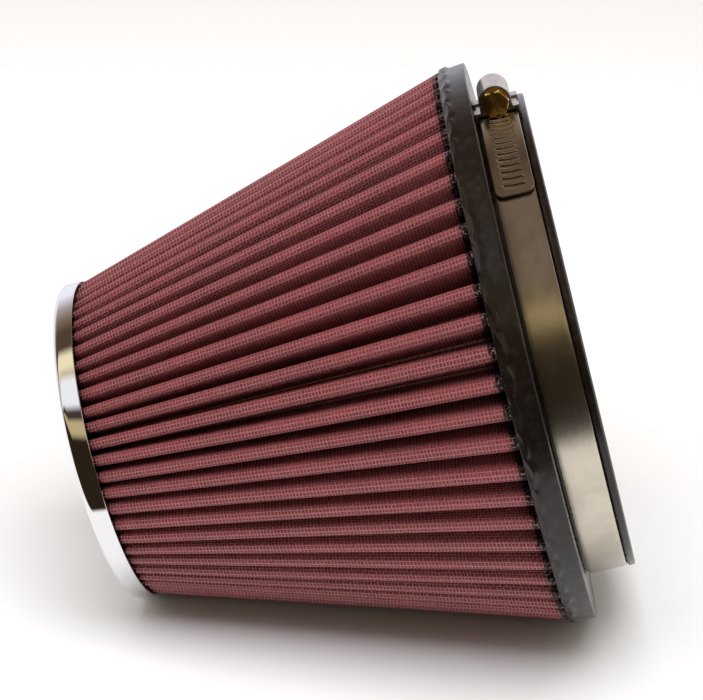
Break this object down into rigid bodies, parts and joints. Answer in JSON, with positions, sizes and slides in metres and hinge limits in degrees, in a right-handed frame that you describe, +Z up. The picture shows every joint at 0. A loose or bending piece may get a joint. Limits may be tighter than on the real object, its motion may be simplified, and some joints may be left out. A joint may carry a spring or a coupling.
{
  "type": "clamp-on air filter",
  "caption": "Round tapered clamp-on air filter: chrome end cap, pleated oiled-cotton element behind wire screen, moulded urethane base and flange, and a worm-drive hose clamp.",
  "frame": {"origin": "under the middle of the filter's box, on the surface that it lies on", "axes": "+X from the chrome end cap towards the flange, +Z up; the filter's own axis rises towards +X by half the cone's taper"},
  "size_m": [0.1968, 0.1904, 0.185],
  "materials": {
    "cap_chrome": "polished chrome plate",
    "potting_urethane": "cast, matt black",
    "base_urethane": "moulded, satin black-brown",
    "screen_wire": "woven wire, dark coated",
    "oiled_cotton": "open gauze, red oiled",
    "seam_steel": "plain strip",
    "band_stainless": "rolled stainless strip, satin",
    "housing_steel": "pressed stainless sheet, satin",
    "screw_yellow_zinc": "steel, yellow zinc plated"
  },
  "bodies": {
    "filter": {"chrome_end_cap": "cap_chrome", "cap_potting": "potting_urethane", "urethane_base": "base_urethane", "outer_wire_screen": "screen_wire", "cotton_ply_1": "oiled_cotton", "cotton_ply_2": "oiled_cotton", "cotton_ply_3": "oiled_cotton", "cotton_ply_4": "oiled_cotton", "inner_wire_screen": "screen_wire", "seam_clip": "seam_steel"},
    "clamp": {"clamp_band": "band_stainless", "clamp_housing": "housing_steel", "clamp_saddle": "housing_steel"},
    "band_tail": {"clamp_band_tail": "band_stainless"},
    "screw": {"clamp_screw": "screw_yellow_zinc"}
  },
  "joints": [
    {"name": "clamp_swivel", "type": "hinge", "parent": "filter", "child": "clamp", "pos_m": [0.06786, 0, 0.09528], "axis": [0.9628, 0, 0.2703], "continuous": true},
    {"name": "screw_turn", "type": "hinge", "parent": "clamp", "child": "screw", "pos_m": [0.04452, -0.00332, 0.1784], "axis": [0.0104, -0.9993, -0.037], "range_deg": [-720, 2160]},
    {"name": "tail_feed", "type": "hinge", "parent": "clamp", "child": "band_tail", "pos_m": [0.06786, 0, 0.09528], "axis": [0.9628, 0, 0.2703], "range_deg": [-11.8, 3.95]}
  ],
  "couplings": [
    {"joint": "tail_feed", "follows": "screw_turn", "ratio": -0.0054462}
  ]
}
